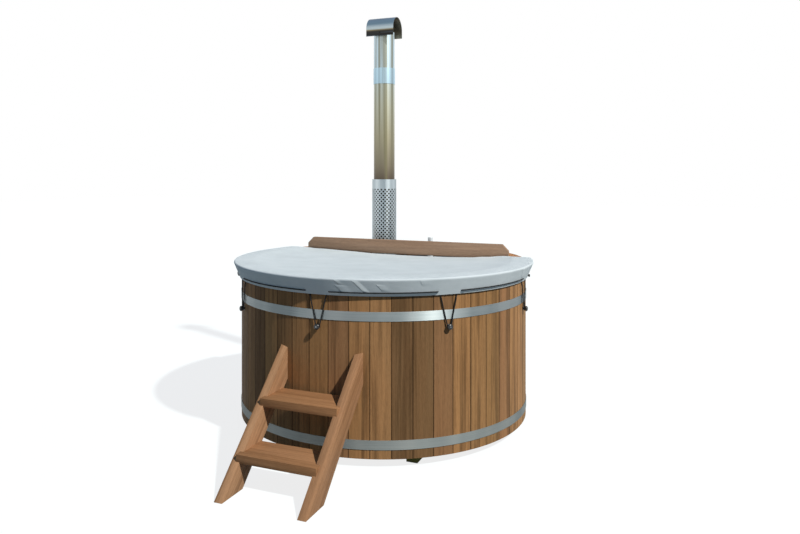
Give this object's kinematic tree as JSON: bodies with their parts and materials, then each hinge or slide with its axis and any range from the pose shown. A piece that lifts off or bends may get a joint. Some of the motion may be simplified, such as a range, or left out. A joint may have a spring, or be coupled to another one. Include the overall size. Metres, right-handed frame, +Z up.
{
  "type": "wooden hot tub",
  "caption": "Round stave-built wooden hot tub with an inside wood stove behind a fence, chimney with heat guard, elastic-cord cover and ladder.",
  "frame": {"origin": "on the ground on the tub's axis, in the middle of the middle base beam's underside", "axes": "+Z up, -Y towards the ladder, +Y towards the stove and chimney"},
  "size_m": [2, 2.631, 2.814],
  "materials": {
    "treated_pine": "sawn, pressure treated, olive brown",
    "spruce_floor": "planed boards",
    "stave_wood": "planed and oiled staves, each with its own tone",
    "galvanised_band": "bright galvanised band",
    "zinc_fastener": "zinc plated",
    "rim_wood": "planed and oiled, orange brown",
    "fence_wood": "weathered, brown grey",
    "bench_wood": "planed boards",
    "stove_metal": "welded sheet, brushed",
    "gasket": "heat-proof sealing cord, dark grey",
    "grate_iron": "cast, sooty",
    "handle_steel": "brushed stainless",
    "guard_steel": "perforated stainless sheet",
    "heated_steel": "stainless, tinted brown to straw by heat",
    "flue_steel": "stainless, silver blue",
    "hood_steel": "darkened stainless sheet",
    "cover_fabric": "coated fabric, light blue grey",
    "cord_black": "black shock cord",
    "knob_black": "moulded black nylon",
    "ladder_wood": "planed boards, light brown",
    "drain_brass": "machined brass",
    "valve_metal": "nickel plated",
    "lever_paint": "red lacquered lever",
    "seal_rubber": "black rubber"
  },
  "bodies": {
    "tub": {"base_beams": "treated_pine", "floor_boards": "spruce_floor", "staves": "stave_wood", "lower_hoop": "galvanised_band", "upper_hoop": "galvanised_band", "hoop_bolts": "zinc_fastener", "rim_boards": "rim_wood", "fence_plank": "fence_wood", "fence_boards": "fence_wood", "fence_posts": "fence_wood", "fence_screws": "zinc_fastener", "bench_slats": "bench_wood", "bench_bearers": "bench_wood", "bench_legs": "bench_wood", "stove_feet": "stove_metal", "stove_body": "stove_metal", "stove_gasket": "gasket", "stove_top": "stove_metal", "stove_bolts": "zinc_fastener", "fire_grate": "grate_iron", "lid_rails": "stove_metal", "lid_stop": "stove_metal", "flue_collar": "guard_steel", "heat_guard": "guard_steel", "guard_ring": "guard_steel", "lower_flue": "heated_steel", "flue_sleeve": "flue_steel", "upper_flue": "flue_steel", "rain_hood": "hood_steel", "hood_spacers": "zinc_fastener", "hood_screws": "zinc_fastener", "cord_knobs": "knob_black", "knob_screws": "zinc_fastener", "left_stringer": "ladder_wood", "right_stringer": "ladder_wood", "lower_tread": "ladder_wood", "upper_tread": "ladder_wood", "ladder_screws": "zinc_fastener", "drain_tube": "drain_brass", "drain_seal": "seal_rubber", "drain_nut": "drain_brass", "valve_body": "valve_metal"},
    "cover": {"cover": "cover_fabric", "cord_runs": "cord_black", "cord_loops": "cord_black"},
    "lid": {"fuel_lid": "stove_metal", "lid_handle": "handle_steel", "handle_cap": "handle_steel", "lid_bolts": "zinc_fastener"},
    "drain_lever": {"valve_stem": "drain_brass", "valve_lever": "lever_paint", "lever_nut": "zinc_fastener"}
  },
  "joints": [
    {"name": "cover_lift", "type": "slide", "parent": "tub", "child": "cover", "axis": [0, 0, 1], "range_m": [0, 0.3], "deforming": ["cord_loops"]},
    {"name": "lid_slide", "type": "slide", "parent": "tub", "child": "lid", "axis": [1, 0, 0], "range_m": [0, 0.2]},
    {"name": "drain_turn", "type": "hinge", "parent": "tub", "child": "drain_lever", "pos_m": [0, 0.994, 0.189], "axis": [0, 0, 1], "range_deg": [0, 90]}
  ]
}
